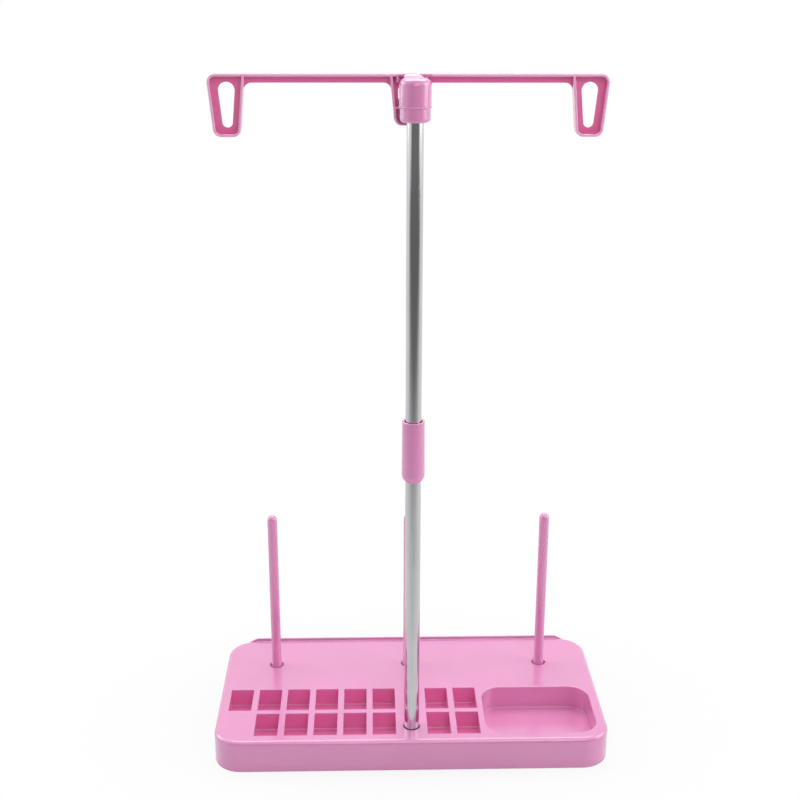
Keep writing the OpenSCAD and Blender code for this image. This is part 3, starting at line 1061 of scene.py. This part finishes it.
@dataclass
class ThreadBar:
    """The bar with its three eyelets and the socket that turns on the mast."""

    plastic: bpy.types.Material
    rim_front: float = -37.35 * MM
    rim_slack: float = 0.02 * MM
    rim_round: float = 0.6 * MM
    back_from: float = 1.0 * MM
    back_round: float = 0.15 * MM
    socket_reach: float = 13.0 * MM

    def build(self) -> None:
        """Softens the moulding's edges and dresses it."""
        rounds = [
            EdgeRound(self.rim_round, self.is_rim, segments=4),
            EdgeRound(self.back_round, self.is_back, segments=2),
        ]
        bar = SoftenedCopy("guide_bar", "thread_bar_moulding", rounds).build()
        hand_over(bar, Body.BAR, self.plastic, "guide_bar")

    def is_rim(self, a: Vector, b: Vector) -> bool:
        """Tells whether an edge lies on the front of the rims."""
        return max(abs(a.y - self.rim_front), abs(b.y - self.rim_front)) < self.rim_slack

    def is_back(self, a: Vector, b: Vector) -> bool:
        """Tells whether an edge lies behind the rims' front, away from the socket."""
        clear = min(abs(a.x), abs(b.x)) > self.socket_reach
        return clear and min(a.y, b.y) > self.rim_front + self.back_from


@dataclass
class SpoolPin:
    """One pin with its flared foot, its peg and its domed top."""

    plastic: bpy.types.Material
    name: str
    node: str
    body: Body
    radius: float = 3.3 * MM
    peg: float = 11.0 * MM
    peg_radius: float = 3.0 * MM
    peg_core: float = 0.2 * MM
    peg_round: float = 0.4 * MM
    foot_round: float = 0.3 * MM
    flare: float = 7.0 * MM
    flare_round: float = 18.0 * MM
    corner_steps: int = 5
    # The dome's rings, up to the last one's angle in degrees, which a flat cap closes
    dome_steps: int = 11
    dome_sweep: float = 85.345
    segments: int = 64

    def build(self) -> None:
        """Builds and dresses the pin."""
        hand_over(self.pin(), self.body, self.plastic, self.node)

    def pin(self) -> bpy.types.Object:
        """Builds the pin from its peg up.

        Returns:
            The pin.
        """
        box = NodeBox.of(self.node)
        end, crown = box.low[2], box.high[2] - self.radius
        seat = end + self.peg
        section = fillet(
            [
                (self.peg_core, end, 0),
                (self.peg_radius, end, self.peg_round),
                (self.peg_radius, seat, 0),
                (box.radius, seat, self.foot_round),
                (self.radius, seat + self.flare, self.flare_round),
                (self.radius, crown, 0),
            ],
            steps=self.corner_steps,
        )[:-1]
        bend = section[-1][1]
        rise = (crown - bend) / SHAFT_STEPS
        section += [(self.radius, bend + rise * i) for i in range(1, SHAFT_STEPS + 1)]
        for i in range(1, self.dome_steps + 1):
            turn = math.radians(self.dome_sweep * i / self.dome_steps)
            section.append((self.radius * math.cos(turn), crown + self.radius * math.sin(turn)))
        return Turning(self.name, box.axis, section, segments=self.segments).build()


# The studio


@dataclass(frozen=True)
class Softbox:
    """A large soft lamp that looks at the rack."""

    name: str
    place: Point
    aim: Point
    size: tuple[float, float]
    power: float

    def build(self) -> None:
        """Adds the lamp."""
        lamp = bpy.data.lights.new(self.name, "AREA")
        lamp.shape = "RECTANGLE"
        lamp.size, lamp.size_y = self.size
        lamp.energy = self.power
        holder = bpy.data.objects.new(self.name, lamp)
        holder.location = self.place
        ahead = Vector(self.aim) - Vector(self.place)
        holder.rotation_euler = ahead.to_track_quat("-Z", "Y").to_euler()
        bpy.context.scene.collection.objects.link(holder)


@dataclass(frozen=True)
class ViewCamera:
    """The camera where the photograph was taken from."""

    place: Point = (-0.02627, -0.75035, 0.48486)
    pitch: float = 0.32914
    yaw: float = 0.02595
    roll: float = 0.00247
    focal_pixels: float = 1262.64
    frame_pixels: float = 800.0
    sensor: float = 36.0

    def build(self) -> None:
        """Adds the camera and makes it the scene's."""
        data = bpy.data.cameras.new("view_camera")
        data.sensor_width = self.sensor
        data.lens = self.sensor * self.focal_pixels / self.frame_pixels
        camera = bpy.data.objects.new("view_camera", data)
        level = math.cos(self.pitch)
        ahead = Vector(
            (math.sin(self.yaw) * level, math.cos(self.yaw) * level, -math.sin(self.pitch))
        )
        right = Vector((math.cos(self.yaw), -math.sin(self.yaw), 0))
        up = right.cross(ahead)
        tilted_right = right * math.cos(self.roll) + up * math.sin(self.roll)
        tilted_up = up * math.cos(self.roll) - right * math.sin(self.roll)
        turn = Matrix((tilted_right, tilted_up, -ahead)).transposed()
        camera.matrix_world = Matrix.Translation(self.place) @ turn.to_4x4()
        bpy.context.scene.collection.objects.link(camera)
        bpy.context.scene.camera = camera


@dataclass
class Surroundings:
    """The pale floor, the light of the room and the lamps."""

    floor_front: float = -2.2
    floor_back: float = 3.4
    floor_half: float = 2.2
    floor_colour: Colour = (0.78, 0.78, 0.78, 1.0)
    fibre_scale: float = 900.0
    fibre_shade: float = 0.985
    floor_roughness: float = 0.9
    floor_shine: float = 0.1
    # Distances from the rack between which the floor turns from shaded to plain white
    open_stretch: Point = (0.7, 1.0, 1.0)
    open_reach: Span = (0.02, 0.2)
    open_share: Span = (0.85, 1.0)
    # How white gloss sees the floor, from in front of the rack to behind it
    lit_reach: Span = (-1.0, 0.1)
    lit_share: Span = (0.16, 0.9)
    # The room's even light, and the dark that gloss sees in front of the rack
    room_light: float = 0.36
    room_dark: Colour = (0.2, 0.2, 0.205, 1.0)
    room_reach: Span = (-0.75, -0.45)
    lamps: list[Softbox] = field(
        default_factory=lambda: [
            Softbox("lamp_top", (0.0, 0.55, 1.4), (0.0, 0.0, 0.1), (1.2, 0.8), 9.4),
            Softbox("lamp_left", (-1.15, 0.35, 0.75), (0.0, 0.0, 0.2), (0.8, 1.1), 6.0),
            Softbox("lamp_right", (1.25, -0.15, 0.75), (0.0, 0.0, 0.2), (1.0, 1.1), 7.2),
            Softbox("lamp_front", (0.2, -1.0, 0.95), (0.0, 0.0, 0.3), (0.7, 0.5), 3.0),
        ]
    )

    def build(self) -> None:
        """Builds the floor, the world and the lamps."""
        self.floor()
        self.world()
        for lamp in self.lamps:
            lamp.build()

    def seen_rays(self, sheet: NodeSheet) -> Socket:
        """Gives 1 for rays that show the background: from the camera, in gloss and through glass.

        Args:
            sheet: The tree's sheet.

        Returns:
            The mask's socket.
        """
        path = sheet.add("ShaderNodeLightPath")
        shown = sheet.math("MAXIMUM", path.outputs["Is Camera Ray"], path.outputs["Is Glossy Ray"])
        return sheet.math("MAXIMUM", shown, path.outputs["Is Transmission Ray"])

    def floor(self) -> None:
        """Builds the floor, white where it is seen far from the rack and shaded near it."""
        deselect_everything()
        depth = self.floor_back - self.floor_front
        middle = (self.floor_front + self.floor_back) / 2
        bpy.ops.mesh.primitive_plane_add(size=1, location=(0, middle, 0))
        floor = bpy.context.object
        floor.name = "studio_floor"
        bpy.ops.transform.resize(
            value=(2 * self.floor_half, depth, 1), center_override=floor.location
        )
        bpy.ops.object.transform_apply(location=True, rotation=True, scale=True)
        floor.data.materials.append(self.paper())

    def paper(self) -> bpy.types.Material:
        """Builds the floor's material.

        Returns:
            The material.
        """
        material = bpy.data.materials.new("studio_floor")
        material.use_nodes = True
        sheet = NodeSheet(material.node_tree)
        paper = material.node_tree.nodes["Principled BSDF"]
        paper.inputs["Roughness"].default_value = self.floor_roughness
        paper.inputs["Specular IOR Level"].default_value = self.floor_shine
        place = sheet.add("ShaderNodeTexCoord").outputs["Object"]
        fibres = sheet.spread(sheet.noise(place, self.fibre_scale, detail=2.0), *MIDDLE)
        shaded = (*(self.fibre_shade * c for c in self.floor_colour[:3]), 1.0)
        sheet.join(sheet.blend(fibres, self.floor_colour, shaded), paper.inputs["Base Color"])
        white = sheet.add("ShaderNodeEmission")
        away = sheet.add("ShaderNodeVectorMath", operation="LENGTH")
        sheet.join(sheet.stretched(place, self.open_stretch), away.inputs[0])
        open_floor = sheet.spread(away.outputs["Value"], *self.open_reach, *self.open_share)
        lit = sheet.spread(sheet.axes(place)["Y"], *self.lit_reach, *self.lit_share)
        path = sheet.add("ShaderNodeLightPath")
        sheet.join(
            sheet.math("MAXIMUM", lit, path.outputs["Is Camera Ray"]), white.inputs["Strength"]
        )
        mix = sheet.add("ShaderNodeMixShader")
        sheet.join(sheet.math("MULTIPLY", self.seen_rays(sheet), open_floor), mix.inputs[0])
        sheet.join(paper.outputs[0], mix.inputs[1])
        sheet.join(white.outputs[0], mix.inputs[2])
        sheet.join(mix.outputs[0], material.node_tree.nodes["Material Output"].inputs["Surface"])
        return material

    def world(self) -> None:
        """Makes the room: white where it is seen, dark in front in gloss, and evenly lit."""
        world = bpy.data.worlds.new("studio_room")
        world.use_nodes = True
        bpy.context.scene.world = world
        sheet = NodeSheet(world.node_tree)
        back = world.node_tree.nodes["Background"]
        path = sheet.add("ShaderNodeLightPath")
        way = sheet.axes(sheet.add("ShaderNodeTexCoord").outputs["Generated"])
        ahead = sheet.spread(way["Y"], *self.room_reach)
        room = sheet.blend(ahead, self.room_dark, WHITE)
        shown = sheet.blend(path.outputs["Is Camera Ray"], room, WHITE)
        even = (self.room_light, self.room_light, self.room_light, 1.0)
        sheet.join(sheet.blend(self.seen_rays(sheet), even, shown), back.inputs["Color"])


def main() -> None:
    """Builds the rack and its studio, piece by piece."""
    logging.basicConfig(level=logging.INFO, format="%(name)s: %(message)s")
    bpy.context.scene.view_settings.view_transform = "Standard"
    effects = SharedEffects(marks=HandlingMarks().build(), dust=SettledDust().build())
    pink = GlossPlastic("pink_plastic")
    plastic = pink.build(effects)
    # Painted highlights on the bar's rim fronts and painted shade in the recess between them
    rims = RimLightAndRecessShade(front=ThreadBar.rim_front)
    rim_light_plastic = replace(pink, name="pink_plastic_painted_rim_light", painted_light=rims).build(effects)
    # Painted shade inside the base's wells
    pocket_shaded_plastic = replace(pink, name="pink_plastic_painted_pocket_shade", painted_light=PaintedPocketShade()).build(effects)
    steel = PolishedSteel("steel_tube").build(effects)
    foam = FoamRubber("pad_foam").build(effects)
    BaseMoulding(pocket_shaded_plastic, foam).build()
    Mast(plastic, steel).build()
    ThreadBar(rim_light_plastic).build()
    for name, node, body in (
        ("spool_pin_1", "spool_pin_left", Body.PIN_LEFT),
        ("spool_pin_2", "spool_pin_middle", Body.PIN_MIDDLE),
        ("spool_pin_3", "spool_pin_right", Body.PIN_RIGHT),
    ):
        SpoolPin(plastic, name, node, body).build()
    ViewCamera().build()
    Surroundings().build()


if __name__ == "__main__":
    main()
